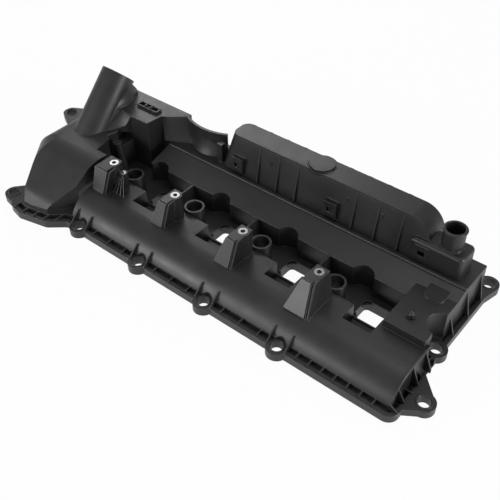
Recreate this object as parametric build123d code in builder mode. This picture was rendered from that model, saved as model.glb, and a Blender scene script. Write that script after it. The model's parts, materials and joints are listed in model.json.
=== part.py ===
from build123d import *
import os
from math import cos, radians, sin

os.makedirs("parts", exist_ok=True)

# An engine valve cover for one bank of four cylinders, moulded in black glass-filled nylon.
# The cover stands on its sealing face, which is the plane z = 0.  X runs along the engine,
# from the timing end on the left to the plain end on the right.  Y runs from the near row of
# bolts towards the oil separator.  The origin is the middle of the near row of four bolts.

# ---------------------------------------------------------------- layout of the engine
cylinder_pitch = 100.0       # distance between neighbouring cylinders
cylinder_count = 4
row_start_x = -cylinder_pitch * (cylinder_count - 1) / 2
row_x = [row_start_x + cylinder_pitch * index for index in range(cylinder_count)]

# ---------------------------------------------------------------- walls, flange and bolts
wall = 3.5                   # general wall of the moulding
flange_height = 9.5
rim_height = 8.0             # height of the solid rim that holds the gasket
bolt_hole_r = 6.5
bolt_lug_r = 12.0
bolt_relief_r = 9.6          # half round relief for the socket above each bolt
bolt_edge = 4.0              # bolt row to the plain edge of the flange
bolt_wall = 6.5              # bolt row to the wall of the body
lip_width = 5.0              # raised lip along the outer edge of the flange
trough_floor_z = 6.0
rib = 1.6                    # thickness of a stiffening rib

# ---------------------------------------------------------------- main forms across the cover
near_edge_y = -bolt_edge
near_face_y = bolt_wall
near_top_z = 35.0
near_crown_y = 44.0          # where the convex face meets the flat top
valley_near_y = 76.5
valley_far_y = 117.0
valley_floor_z = 12.0
valley_wall_z = 40.0
slope_angle = 15.5           # fall of the long sloping face above the valley wall
ridge_y = 152.0
shelf_z = 50.0
bead_width = 2.0             # bead along the ridge, and the groove behind it
bead_height = 1.2
groove_floor_z = 48.2
far_wall_y = 197.0
far_row_y = far_wall_y + bolt_wall
far_edge_y = far_row_y + bolt_edge

# ---------------------------------------------------------------- main forms along the cover
near_left_x = -170.0         # step from the timing end down to the near body
near_right_x = 279.0
end_wall_x = 276.0
slope_left_x = -140.0
right_edge_x = 284.0
right_foot_x = 289.0         # the flange is wider beside the near body
trough_right_y = (12.0, 84.0)
trough_right_rib_y = (34.0, 58.0)
end_gussets = ((124.5, 32.0), (157.0, 44.0), (186.6, 47.0))     # y and top of each
deck_left_x = 229.0
deck_near_y = 69.0
deck_top_z = 45.0

# ---------------------------------------------------------------- bolts away from the two rows
left_lug = (-264.0, -7.2)
far_left_lug = (-349.6, 161.9)
ear_lug = (301.0, 33.3)
ear_r = 10.6
side_bolt = (277.7, 98.3)
side_relief_r = 15.5
far_right_lug = (277.0, 216.0)
lug_arms = [                  # each lug, its radius, and the two feet of its arm on the flange
    (left_lug, bolt_lug_r, (-256, 20), (-240, -24)),
    (far_left_lug, bolt_lug_r, (-318, 132), (-334, 184)),
    (ear_lug, ear_r, (285, 10), (283, 66)),
    (far_right_lug, bolt_lug_r, (282, 186), (256, 205)),
]

# ---------------------------------------------------------------- timing end
dome_top_z = 61.0
dome_edge_start = (-258.0, 9.0)      # the left edge of the flange, near end
dome_edge_end = (-306.0, 70.0)       # and its far end
dome_wall_x = -290.0                 # foot of the left wall beyond that edge
dome_shoulder_r = 30.0               # the wall rolls over to the top in this arc
roof_z = 82.0
roof_near_y = 134.0
roof_far_y = 183.0
roof_left_x = -258.0
pit_terrace = (-206.0, -188.0, 112.0, 46.0)      # left, right, near side and top
pit_post_foot = (-181.0, 108.0, 11.0)
pit_post_top = (-186.5, 106.5, 57.0)
pit_post_r = 5.0
neck_r = 21.75
neck_wall = 3.2
neck_lean = 45.0
neck_mouth = (-236.0, 164.6, 110.5)
neck_root_z = 46.0
saddle_width = 22.0          # web that carries the neck

# ---------------------------------------------------------------- what repeats at each cylinder
tube_offset = (9.5, 88.1)            # coil tube from the near bolt of its cylinder
tube_r = 12.0
tube_bore_r = 9.6
tube_top_z = 39.4
notch_offset_x = 26.0
notch_y = 112.0
notch_r = 14.0
window_offset_x = 56.0
window_width = 36.0
window_near_y = 80.0
window_far_y = 108.0
window_corner_r = 5.0
pocket_offset_x = 58.0
pocket_width = 34.0
pocket_near_y = 53.7
web_offset_x = -18.0
web_thickness = 2.0

# ---------------------------------------------------------------- ribs of the flange
bay_ribs = (-25.0, 0.0, 25.0)        # from the middle between two bolts
right_rib_start = 24.0               # from the last bolt
right_rib_pitch = 15.0
right_rib_count = 7
left_rib_x = (-240.0, -224.0, -208.0, -193.0, -180.0)
rib_top_z = 11.5
bolt_rib_offset = 11.5               # thin gussets on both sides of each bolt

# ---------------------------------------------------------------- oil separator
separator_left_x = -60.0
separator_lean_x = 13.0              # the left end leans in by this much
separator_round_r = 27.0             # rounded right end, seen from the near side
separator_right_x = 223.0
separator_front_y = 159.0
separator_front_lean = 7.0
separator_back_y = 195.0
separator_top_z = 98.5
separator_wall = 2.5
separator_corner_r = 10.0
lid_thickness = 3.0
lid_collar = 2.2             # the lid runs round the valve cap by this much
outlet_left_x = 205.0
outlet_right_x = 264.0
outlet_near_y = 156.5
outlet_far_y = 187.0
outlet_top_z = 78.5
spigot_place = (243.5, 171.0)
spigot_r = 12.0
spigot_bore_r = 10.2
spigot_collar = 0.8
spigot_top_z = 102.7
clip_x = (-32.0, 102.5, 218.0)
clip_width = 17.0
clip_bottom_z = 53.0
clip_top_z = 73.0
clip_reach = 3.0
clip_window = (8.0, 6.0)
separator_rib_x = (-2.0, 26.0, 53.0, 131.0, 160.0, 189.0)
baffle_wall_x = (15.0, 120.0, 165.0)
baffle_wall_gap = 12.0

# ---------------------------------------------------------------- pressure valve in the separator
valve_place = (74.0, 180.5)
valve_cap_r = 15.0
valve_cap_thickness = 2.0
valve_bore_r = 11.5
valve_depth = 17.0
valve_port_r = 4.0
diaphragm_r = 13.4
diaphragm_thickness = 1.2

# ---------------------------------------------------------------- inner baffle plate
baffle_top_z = 33.0
baffle_thickness = 2.5
baffle_near_y = 131.0
baffle_far_y = 190.0
baffle_end_gap = 8.0
baffle_post_r = 4.5
baffle_post_x = (-118.0, 68.0, 254.0)
baffle_post_rows = ((141.0, 44.0), (180.0, 48.0))    # y of a row of posts and where it meets the roof
baffle_drain = (14.0, 6.0)
baffle_screw_r = 1.9
baffle_screw_head_r = 3.8
baffle_screw_head = 2.4
baffle_screw_length = 9.0
fit_gap = 0.1                # play of a part that sits in a hole

# ---------------------------------------------------------------- small things
stud_place = (248.0, 90.0)
stud_ball_r = 4.0
stud_foot_r = 5.5
stud_foot = 1.5
stud_height = 7.5
stud_pin_r = 2.2
stud_pin_depth = 8.0
stud_boss_r = 5.0
sensor_place = (-134.0, 66.0)
sensor_boss_r = 5.2
sensor_boss_top_z = 58.0
sensor_insert_r = 3.2
sensor_bore_r = 1.7
sensor_insert_height = 10.0
sensor_rib_feet = (-146.0, -140.0, -134.0, -128.0, -122.0)
tube_seal_r = 10.9
tube_seal_bore_r = 8.4
window_seal_width = 2.4
window_seal_gap = 1.6
window_lip = 2.0
window_lip_top_z = 14.0

# ---------------------------------------------------------------- coil brackets
bracket_top_z = 67.6
bracket_back_y = 73.0
bracket_front_y = 48.0
insert_offset = (3.2, 65.0)
insert_r = 5.4
insert_bore_r = 2.6
insert_height = 14.0
bracket_boss_r = 8.0
bracket_feet = [              # left and right end of the foot from the near bolt, and its y
    (-13.0, 8.5, 41.5),
    (-14.0, 7.0, 41.0),
    (-14.0, 10.0, 37.5),
    (-13.0, 17.0, 30.0),
]
bracket_tops = [(-10.0, 15.0), (-4.8, 11.2), (-4.8, 11.2), (-4.8, 11.2)]
bracket_groove = (2.0, 3.8, 2.5)      # from the right edge, to the right edge, and deep

# ---------------------------------------------------------------- gasket
gasket_width = 4.0
gasket_height = 5.0
gasket_groove_depth = 5.5
gasket_inset = 11.5           # flange edge to the outer wall of the gasket groove
gasket_bolt_gap = 2.0         # wall between a bolt hole and the groove
gasket_play = 0.15
rim_inset = 19.0              # flange edge to the inner wall of the rim


def flange_outline(inset):
    """Plain edge of the flange without its bolt lugs, drawn smaller by inset."""
    corners = {                                   # corner of the edge: its radius
        (row_x[0] - 18, near_edge_y): 10,
        (right_foot_x, near_edge_y): 12,
        (right_foot_x, ear_lug[1]): 8,
        (right_edge_x, ear_lug[1] + 2 * bolt_lug_r): 8,
        (right_edge_x, far_edge_y): 12,
        (-312, far_edge_y): 40,
        (-347, 172): 20,
        (-312, 120): 40,
        dome_edge_end: 40,
        dome_edge_start: 15,
        (-250, -25): 8,
        (-228, -29.5): 8,
        (row_x[0] - 38, -20.5): 12,
    }
    with BuildSketch() as sketch:
        Polygon(*corners, align=None)
        for place, radius in corners.items():
            fillet(sketch.vertices().sort_by_distance(place)[0], radius=radius)
        if inset:
            offset(amount=-inset, kind=Kind.INTERSECTION)
    return sketch.sketch


bolt_places = (
    [(x, 0) for x in row_x]
    + [(x, far_row_y) for x in row_x]
    + [left_lug, far_left_lug, ear_lug, side_bolt, far_right_lug]
)


def seal_region(inset):
    """What lies inside a line that keeps inset from the flange edge and goes round the bolts."""
    with BuildSketch() as sketch:
        add(flange_outline(inset))
        with Locations(*bolt_places):
            Circle(bolt_hole_r + gasket_bolt_gap + inset - gasket_inset, mode=Mode.SUBTRACT)
    return sketch.sketch


def gasket_ring(play):
    """The cover gasket in plan, or its groove when play is nought."""
    with BuildSketch() as sketch:
        add(seal_region(gasket_inset + play))
        add(seal_region(gasket_inset + gasket_width - play), mode=Mode.SUBTRACT)
    return sketch.sketch


def window_seal_rings(play):
    """The seals round the windows in plan, or their grooves when play is nought."""
    inner = 2 * (window_seal_gap + play)
    outer = 2 * (window_seal_gap + window_seal_width - play)
    depth = window_far_y - window_near_y
    with BuildSketch() as sketch:
        with Locations(*[(x + window_offset_x, (window_near_y + window_far_y) / 2) for x in row_x]):
            RectangleRounded(window_width + outer, depth + outer, window_corner_r + outer / 2)
            RectangleRounded(
                window_width + inner, depth + inner, window_corner_r + inner / 2, mode=Mode.SUBTRACT
            )
    return sketch.sketch


def dome_plan(inset):
    """Footprint of the timing end."""
    with BuildSketch() as sketch:
        add(flange_outline(lip_width))
        with BuildLine():
            Polyline(
                (near_left_x - 3, 72),
                (near_left_x - 5, 25),
                (-188, 5),
                (-198, -9),
                (-228, -12.5),
                (-400, -14),
                (-400, far_wall_y),
                (near_left_x - 3, far_wall_y),
                close=True,
            )
        make_face(mode=Mode.INTERSECT)
        if inset:
            offset(amount=-inset, kind=Kind.INTERSECTION)
    return sketch.sketch


def body_plan(inset):
    """Footprint of everything that stands inside the flange."""
    with BuildSketch() as sketch:
        add(dome_plan(0))
        with Locations((near_left_x - 1, near_face_y)):
            Rectangle(end_wall_x - near_left_x + 1, far_wall_y - near_face_y, align=(Align.MIN, Align.MIN))
        offset(amount=-inset, kind=Kind.INTERSECTION)
    return sketch.sketch


def lug_sketch():
    """Bolt lugs, with the arms of those that stand away from the edge of the flange."""
    with BuildSketch() as sketch:
        with Locations(*bolt_places):
            Circle(bolt_lug_r)
        for place, radius, foot_a, foot_b in lug_arms:
            with BuildSketch(mode=Mode.PRIVATE) as arm:
                with Locations(place):
                    Circle(radius)
                Polygon(foot_a, place, foot_b, align=None)
                make_hull()
            add(arm.sketch)
    return sketch.sketch


def near_profile(inset):
    """Section of the near body: a convex face that rises from the flange to a flat top."""
    with BuildSketch() as sketch:
        with BuildLine():
            crown = TangentArc(
                (near_crown_y, near_top_z), (near_face_y, flange_height), tangent=(-1, 0)
            )
            Polyline(
                crown @ 1,
                (near_face_y, 0),
                (valley_near_y, 0),
                (valley_near_y, near_top_z),
                crown @ 0,
            )
        make_face()
        if inset:
            offset(amount=-inset, kind=Kind.INTERSECTION)
            with Locations((near_face_y + inset, -1)):
                Rectangle(valley_near_y - near_face_y - 2 * inset, rim_height + 6, align=(Align.MIN, Align.MIN))
    return sketch.sketch


slope_rise = (ridge_y - valley_far_y) * sin(radians(slope_angle)) / cos(radians(slope_angle))
ridge_z = valley_wall_z + slope_rise


def far_profile(inset):
    """Section of the far body: valley wall, long slope, ridge bead and shelf of the separator."""
    bead = (ridge_y - bead_width / 2, ridge_z + bead_height), (ridge_y + bead_width, ridge_z + bead_height)
    groove = (ridge_y + bead_width, groove_floor_z), (separator_front_y - 4, groove_floor_z)
    with BuildSketch() as sketch:
        Polygon(
            (valley_far_y, 0),
            (valley_far_y, valley_wall_z),
            (ridge_y - bead_width / 2, ridge_z),
            *(() if inset else (*bead, *groove, (separator_front_y - 4, shelf_z))),
            (far_wall_y, shelf_z),
            (far_wall_y, 0),
            align=None,
        )
        if inset:
            offset(amount=-inset, kind=Kind.INTERSECTION)
            with Locations((valley_far_y + inset, -1)):
                Rectangle(far_wall_y - valley_far_y - 2 * inset, rim_height + 6, align=(Align.MIN, Align.MIN))
    return sketch.sketch


def dome_slope_profile(inset):
    """The dome seen from the end: it climbs from the near flange to a level top."""
    with BuildSketch() as sketch:
        Polygon(
            (-16, 8),
            (-2, 24),
            (51.5, dome_top_z),
            (260, dome_top_z),
            (260, -40),
            (-16, -40),
            align=None,
        )
        fillet(sketch.vertices().group_by(Axis.Y)[-1].sort_by(Axis.X)[0], radius=45)
        fillet(sketch.vertices().filter_by(lambda v: abs(v.Y - 24) < 0.1), radius=35)
        if inset:
            offset(amount=-inset, kind=Kind.INTERSECTION)
    return sketch.sketch


def dome_side_profile(inset):
    """The dome seen along its left edge: a steep wall that rolls over to the level top."""
    with BuildSketch() as sketch:
        with BuildLine():
            crown = TangentArc((43, dome_top_z), (11, 42), tangent=(-1, 0))
            Polyline(crown @ 1, (3, 24), (3, -40), (420, -40), (420, dome_top_z), crown @ 0)
        make_face()
        if inset:
            offset(amount=-inset, kind=Kind.INTERSECTION)
    return sketch.sketch


def dome_wall_profile(inset):
    """The dome seen along its left wall, which rolls over to the level top in a wide arc."""
    shoulder_x = dome_wall_x + dome_shoulder_r + 8
    with BuildSketch() as sketch:
        with BuildLine():
            crown = TangentArc(
                (shoulder_x, dome_top_z), (dome_wall_x + 8, dome_top_z - 0.7 * dome_shoulder_r), tangent=(-1, 0)
            )
            Polyline(
                crown @ 1,
                (dome_wall_x, flange_height),
                (dome_wall_x, -40),
                (-100, -40),
                (-100, dome_top_z),
                crown @ 0,
            )
        make_face()
        if inset:
            offset(amount=-inset, kind=Kind.INTERSECTION)
    return sketch.sketch


left_edge = Vector(*dome_edge_end) - Vector(*dome_edge_start)
left_edge_plane = Plane(
    origin=(*dome_edge_start, 0),
    x_dir=(left_edge.Y, -left_edge.X, 0),
    z_dir=(-left_edge.X, -left_edge.Y, 0),
)


def dome_block(inset):
    """The timing end as the common part of its footprint and its two climbing profiles."""
    with BuildPart() as block:
        with BuildSketch(Plane.XY.offset(rim_height if inset else 0)):
            add(dome_plan(inset))
        extrude(amount=dome_top_z)
        with BuildSketch(Plane.YZ.offset(-400)):
            add(dome_slope_profile(inset))
        extrude(amount=300, mode=Mode.INTERSECT)
        with BuildSketch(left_edge_plane.offset(-300)):
            add(dome_side_profile(inset))
        extrude(amount=600, mode=Mode.INTERSECT)
        with BuildSketch(Plane.XZ.offset(-400)):
            add(dome_wall_profile(inset))
        extrude(amount=800, mode=Mode.INTERSECT)
    return block.part


def roof_plan(inset):
    """Footprint of the tall housing of the cam phaser valves."""
    with BuildSketch() as sketch:
        Polygon(
            (-213, roof_near_y + 4),
            (-187, roof_near_y),
            (-158, roof_near_y),
            (-156, 157),
            (-148, 161),
            (-128, 178),
            (-128, roof_far_y),
            (-228, roof_far_y),
            align=None,
        )
        if inset:
            offset(amount=-inset, kind=Kind.INTERSECTION)
    return sketch.sketch


def valve_pit_plan(inset):
    """Footprint of the deep pit between the dome and the tall housing."""
    with BuildSketch() as sketch:
        Polygon(
            (-150, 76),
            (-150, roof_near_y),
            (-209, roof_near_y),
            (-205, 121),
            (-200, 119),
            (-203, 104),
            (-197, 101),
            (-191, 76),
            align=None,
        )
        if inset:
            offset(amount=inset, kind=Kind.INTERSECTION)
    return sketch.sketch


bay_middle_x = [x + cylinder_pitch / 2 for x in row_x[:-1]]
near_rib_x = [middle + shift for middle in bay_middle_x for shift in bay_ribs]
near_rib_x += [row_x[-1] + right_rib_start + right_rib_pitch * index for index in range(right_rib_count)]
far_body_length = end_wall_x - slope_left_x
near_body_length = near_right_x - near_left_x
neck_plane = Plane(
    origin=neck_mouth,
    x_dir=(1, 0, 0),
    z_dir=(0, sin(radians(neck_lean)), cos(radians(neck_lean))),
)
neck_length = (neck_mouth[2] - neck_root_z) / cos(radians(neck_lean))

baffle_screw_places = [(x, y, baffle_top_z) for y, post_top_z in baffle_post_rows for x in baffle_post_x]
valve_floor_z = separator_top_z - valve_depth

# ---------------------------------------------------------------- inner space of the moulding
with BuildPart() as cavity:
    with BuildSketch(Plane.XY.offset(-1)):
        add(seal_region(rim_inset))
        add(body_plan(wall), mode=Mode.INTERSECT)
    extrude(amount=rim_height + 1.5)
    with BuildSketch(Plane.YZ.offset(near_left_x - wall)):
        add(near_profile(wall))
    extrude(amount=near_body_length)
    with BuildSketch(Plane.YZ.offset(slope_left_x + wall)):
        add(far_profile(wall))
    extrude(amount=far_body_length - 2 * wall)
    add(dome_block(wall))
    with BuildSketch(Plane.XY.offset(rim_height)):
        add(roof_plan(wall))
    extrude(amount=roof_z - wall - rim_height)
    with Locations((deck_left_x + wall, deck_near_y + wall, rim_height)):
        Box(
            end_wall_x - deck_left_x - 2 * wall,
            valley_far_y + 15 - deck_near_y,
            deck_top_z - wall - rim_height,
            align=(Align.MIN, Align.MIN, Align.MIN),
        )
    # the moulding stays solid round everything that is cut into it from above
    with BuildSketch(Plane.XY.offset(rim_height)):
        add(valve_pit_plan(wall))
    extrude(amount=100, mode=Mode.SUBTRACT)
    with Locations(*[(x + notch_offset_x, notch_y, rim_height) for x in row_x]):
        Box(
            2 * (notch_r + wall),
            2 * (notch_r + wall),
            60,
            align=(Align.CENTER, Align.CENTER, Align.MIN),
            mode=Mode.SUBTRACT,
        )
    with Locations(*[(x + pocket_offset_x, pocket_near_y - wall, -1) for x in row_x]):
        Box(
            pocket_width + 2 * wall,
            valley_near_y - pocket_near_y + wall,
            60,
            align=(Align.CENTER, Align.MIN, Align.MIN),
            mode=Mode.SUBTRACT,
        )
    with Locations(*[(x + window_offset_x, window_near_y - 7, -1) for x in row_x]):
        Box(
            window_width + 14,
            window_far_y - window_near_y + 14,
            valley_floor_z,
            align=(Align.CENTER, Align.MIN, Align.MIN),
            mode=Mode.SUBTRACT,
        )
    with Locations(*[(x + tube_offset[0], tube_offset[1], -1) for x in row_x]):
        Box(
            2 * tube_r + 6,
            2 * tube_r + 6,
            valley_floor_z,
            align=(Align.CENTER, Align.CENTER, Align.MIN),
            mode=Mode.SUBTRACT,
        )
    with Locations(*[(x, y, rim_height) for x, y in bolt_places[: 2 * cylinder_count]]):
        Box(
            2 * (bolt_relief_r + wall),
            2 * (bolt_relief_r + wall),
            80,
            align=(Align.CENTER, Align.CENTER, Align.MIN),
            mode=Mode.SUBTRACT,
        )
    with Locations((*stud_place, deck_top_z)):
        Box(
            2 * stud_boss_r,
            2 * stud_boss_r,
            stud_pin_depth + 2,
            align=(Align.CENTER, Align.CENTER, Align.MAX),
            mode=Mode.SUBTRACT,
        )
    with Locations((*side_bolt, -1)):
        Cylinder(
            side_relief_r + wall, 80, align=(Align.CENTER, Align.CENTER, Align.MIN), mode=Mode.SUBTRACT
        )

# ---------------------------------------------------------------- main moulding
with BuildPart() as valve_cover:
    # flange with its bolt lugs and the raised lip along its edge
    with BuildSketch():
        add(flange_outline(0))
        add(lug_sketch())
    extrude(amount=trough_floor_z)
    with BuildSketch():
        add(flange_outline(0))
        add(flange_outline(lip_width), mode=Mode.SUBTRACT)
        add(lug_sketch())
    extrude(amount=flange_height)
    with Locations((near_right_x + 0.8, trough_right_y[0], 2)):
        Box(
            right_foot_x - lip_width - near_right_x,
            trough_right_y[1] - trough_right_y[0],
            flange_height,
            align=(Align.MIN, Align.MIN, Align.MIN),
            mode=Mode.SUBTRACT,
        )
    # ribs across the trough between the lip and the body
    rib_places = [(x, near_face_y) for x in near_rib_x] + [(x, far_wall_y) for x in near_rib_x]
    with BuildSketch():
        with Locations(*rib_places):
            Rectangle(rib, 4 * bolt_edge)
        with Locations(*[(x, -16) for x in left_rib_x]):
            Rectangle(rib, 44)
        with Locations(*[(near_right_x + 4, y) for y in trough_right_rib_y]):
            Rectangle(2 * lip_width, rib)
        add(flange_outline(1), mode=Mode.INTERSECT)
    extrude(amount=rib_top_z)
    # floor of the valley
    with BuildSketch():
        add(flange_outline(bolt_edge + bolt_wall))
    extrude(amount=valley_floor_z)
    # long bodies on both sides of the valley
    with BuildSketch(Plane.YZ.offset(near_left_x)):
        add(near_profile(0))
    extrude(amount=near_body_length)
    with BuildSketch(Plane.YZ.offset(slope_left_x)):
        add(far_profile(0))
    extrude(amount=far_body_length)
    with Locations((deck_left_x, deck_near_y, 0)):
        Box(
            end_wall_x - deck_left_x,
            valley_far_y + 17 - deck_near_y,
            deck_top_z,
            align=(Align.MIN, Align.MIN, Align.MIN),
        )
    # timing end with the tall valve housing
    add(dome_block(0))
    with BuildSketch():
        add(roof_plan(0))
    extrude(amount=roof_z)
    with Locations((roof_left_x, roof_far_y, 0)):
        Box(
            slope_left_x - roof_left_x,
            far_wall_y - roof_far_y,
            shelf_z,
            align=(Align.MIN, Align.MIN, Align.MIN),
        )
    # oil filler neck on its saddle
    with BuildSketch(neck_plane):
        Circle(neck_r)
    extrude(amount=-neck_length)
    with BuildSketch(Plane.YZ.offset(neck_mouth[0] - saddle_width / 2)):
        Polygon(
            (neck_mouth[1] - 62, dome_top_z - 8),
            (neck_mouth[1] - 1, neck_mouth[2] - 2),
            (neck_mouth[1] + 5, neck_mouth[2] - 12),
            (neck_mouth[1] + 5, dome_top_z - 8),
            align=None,
        )
    extrude(amount=saddle_width)
    # pit in front of the valve housing
    with BuildSketch(Plane.XY.offset(valley_floor_z)):
        add(valve_pit_plan(0))
    extrude(amount=100, mode=Mode.SUBTRACT)
    # terrace and leaning post inside the pit
    with Locations((pit_terrace[0], roof_near_y, valley_floor_z - 1)):
        Box(
            pit_terrace[1] - pit_terrace[0],
            roof_near_y - pit_terrace[2],
            pit_terrace[3] - valley_floor_z + 1,
            align=(Align.MIN, Align.MAX, Align.MIN),
        )
    pit_post_lean = Vector(*pit_post_top) - Vector(*pit_post_foot)
    with BuildSketch(Plane(origin=pit_post_foot, z_dir=pit_post_lean)):
        Circle(pit_post_r)
    extrude(amount=pit_post_lean.length)
    # coil brackets
    for x, (foot_left, foot_right, foot_y), (top_left, top_right) in zip(
        row_x, bracket_feet, bracket_tops
    ):
        with BuildSketch(Plane.YZ.offset(x + foot_left)):
            Polygon(
                (foot_y, near_top_z - 3),
                (foot_y, near_top_z),
                (bracket_front_y, bracket_top_z),
                (bracket_back_y, bracket_top_z),
                (bracket_back_y, near_top_z - 3),
                align=None,
            )
        bracket_side = extrude(amount=foot_right - foot_left, mode=Mode.PRIVATE)
        with BuildSketch(Plane.XZ.offset(-bracket_back_y)) as bracket_front:
            Polygon(
                (x + foot_left, near_top_z - 3),
                (x + foot_left, near_top_z + 2),
                (x + top_left, bracket_top_z),
                (x + top_right, bracket_top_z),
                (x + foot_right, near_top_z - 3),
                align=None,
            )
        bracket_block = extrude(amount=60, mode=Mode.PRIVATE)
        with BuildSketch(Plane.XZ.offset(-bracket_back_y)):
            Polygon(
                (x + foot_right - bracket_groove[1], near_top_z),
                (x + foot_right - bracket_groove[0], near_top_z),
                (x + top_right - bracket_groove[0], bracket_top_z),
                (x + top_right - bracket_groove[1], bracket_top_z),
                align=None,
            )
        groove_block = extrude(amount=60, mode=Mode.PRIVATE)
        groove_back = bracket_side.moved(Location((0, bracket_groove[2], 0)))
        add(bracket_side & bracket_block - (groove_block - groove_back))
    with Locations(*[(x + insert_offset[0], insert_offset[1], near_top_z - 3) for x in row_x]):
        Cylinder(
            bracket_boss_r, bracket_top_z - near_top_z + 3, align=(Align.CENTER, Align.CENTER, Align.MIN)
        )
    # thin gussets on both sides of each bolt of the near and far rows
    with BuildSketch(Plane.YZ, mode=Mode.PRIVATE) as bolt_rib:
        Polygon(
            (-0.75 * bolt_edge, flange_height - 1),
            (-0.75 * bolt_edge, flange_height),
            (near_face_y + 6, flange_height + 13),
            (near_face_y + 6, flange_height - 1),
            align=None,
        )
        Polygon(
            (far_row_y + 0.75 * bolt_edge, flange_height - 1),
            (far_row_y + 0.75 * bolt_edge, flange_height),
            (far_wall_y - 3, flange_height + 13),
            (far_wall_y - 3, flange_height - 1),
            align=None,
        )
    bolt_rib_x = [x + side * bolt_rib_offset - rib / 2 for x in row_x for side in (-1, 1)]
    bolt_rib_solid = extrude(bolt_rib.sketch, amount=rib, mode=Mode.PRIVATE)
    add([bolt_rib_solid.moved(Location((x, 0, 0))) for x in bolt_rib_x])
    # gussets of the end wall
    for y, top_z in end_gussets:
        with BuildSketch(Plane.XZ.offset(-y - rib / 2)):
            Polygon(
                (end_wall_x - 1, 3),
                (right_edge_x - 1, 3),
                (right_edge_x - 1, flange_height),
                (end_wall_x, top_z),
                (end_wall_x - 1, top_z),
                align=None,
            )
        extrude(amount=rib)
    # pad on the deck
    with BuildSketch(Plane.XY.offset(deck_top_z - 1)):
        with Locations((253, 134)):
            RectangleRounded(23, 28, 8)
    extrude(amount=3)
    # boss for the sensor bolt, with its fan of ribs
    with Locations((*sensor_place, near_top_z - 3)):
        Cylinder(
            sensor_boss_r, sensor_boss_top_z - near_top_z + 3, align=(Align.CENTER, Align.CENTER, Align.MIN)
        )
    with BuildSketch(Plane.XY.offset(near_top_z - 3)):
        for foot_x in sensor_rib_feet:
            Polygon(
                (sensor_place[0] - rib / 2, sensor_place[1]),
                (sensor_place[0] + rib / 2, sensor_place[1]),
                (foot_x + rib / 2, sensor_place[1] - 15),
                (foot_x - rib / 2, sensor_place[1] - 15),
                align=None,
            )
    sensor_fan = extrude(amount=40, mode=Mode.PRIVATE)
    with BuildSketch(Plane.YZ.offset(sensor_place[0] - 20)):
        Polygon(
            (sensor_place[1], near_top_z - 3),
            (sensor_place[1] - 15, near_top_z - 3),
            (sensor_place[1] - 15, near_top_z),
            (sensor_place[1] - 3, sensor_boss_top_z - 1),
            (sensor_place[1], sensor_boss_top_z - 1),
            align=None,
        )
    add(sensor_fan & extrude(amount=40, mode=Mode.PRIVATE))
    # wall that links the valve housing with the separator
    with BuildSketch(Plane.XY.offset(shelf_z - 2)):
        with BuildLine():
            ThreePointArc((-130, 178), (-104, 170), (-64, 178))
        trace(line_width=wall)
    extrude(amount=roof_z - shelf_z + 2)
    # post beside the left end of the separator
    with Locations((separator_left_x - 0.4, separator_front_y + 7, shelf_z - 1)):
        Box(7.5, 8, 27, align=(Align.MAX, Align.CENTER, Align.MIN))
    add(cavity.part, mode=Mode.SUBTRACT)
    # posts for the baffle plate
    for y, post_top_z in baffle_post_rows:
        with BuildSketch(Plane.XY.offset(baffle_top_z)):
            with Locations(*[(x, y) for x in baffle_post_x]):
                Circle(baffle_post_r)
        extrude(amount=post_top_z - baffle_top_z)
    # webs across the valley
    with Locations(*[(x + web_offset_x, valley_near_y - 1, valley_floor_z - 1) for x in row_x[1:]]):
        Box(
            web_thickness,
            valley_far_y - valley_near_y + 2,
            valley_wall_z - valley_floor_z + 1,
            align=(Align.CENTER, Align.MIN, Align.MIN),
        )
    # coil tubes
    with Locations(*[(x + tube_offset[0], tube_offset[1], 0) for x in row_x]):
        Cylinder(tube_r, tube_top_z, align=(Align.CENTER, Align.CENTER, Align.MIN))
    with Locations(*[(x + tube_offset[0], tube_offset[1], -1) for x in row_x]):
        Cylinder(
            tube_bore_r, tube_top_z + 2, align=(Align.CENTER, Align.CENTER, Align.MIN), mode=Mode.SUBTRACT
        )
    # windows over the injectors, each with a pocket in the near body
    with BuildSketch(Plane.XY.offset(-1)):
        with Locations(*[(x + window_offset_x, (window_near_y + window_far_y) / 2) for x in row_x]):
            RectangleRounded(window_width, window_far_y - window_near_y, window_corner_r)
    extrude(amount=valley_floor_z + 2, mode=Mode.SUBTRACT)
    with Locations(*[(x + pocket_offset_x, pocket_near_y, valley_floor_z) for x in row_x]):
        Box(
            pocket_width,
            valley_near_y - pocket_near_y + 2,
            60,
            align=(Align.CENTER, Align.MIN, Align.MIN),
            mode=Mode.SUBTRACT,
        )
    with Locations(*[(x + notch_offset_x, notch_y, valley_floor_z) for x in row_x]):
        Cylinder(notch_r, 60, align=(Align.CENTER, Align.CENTER, Align.MIN), mode=Mode.SUBTRACT)
    # raised lip round each window
    with BuildSketch(Plane.XY.offset(valley_floor_z - 1)):
        with Locations(*[(x + window_offset_x, (window_near_y + window_far_y) / 2) for x in row_x]):
            RectangleRounded(
                window_width + 2 * window_lip,
                window_far_y - window_near_y + 2 * window_lip,
                window_corner_r + window_lip,
            )
            RectangleRounded(
                window_width, window_far_y - window_near_y, window_corner_r, mode=Mode.SUBTRACT
            )
    extrude(amount=window_lip_top_z - valley_floor_z + 1)
    # grooves of the cover gasket, the coil well seals and the window seals
    with BuildSketch(Plane.XY.offset(-1)):
        add(gasket_ring(0))
        add(window_seal_rings(0))
        with Locations(*[(x + tube_offset[0], tube_offset[1]) for x in row_x]):
            Circle(tube_seal_r + fit_gap)
    groove = extrude(amount=1 + gasket_groove_depth, mode=Mode.PRIVATE)
    add(groove, mode=Mode.SUBTRACT)
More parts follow.
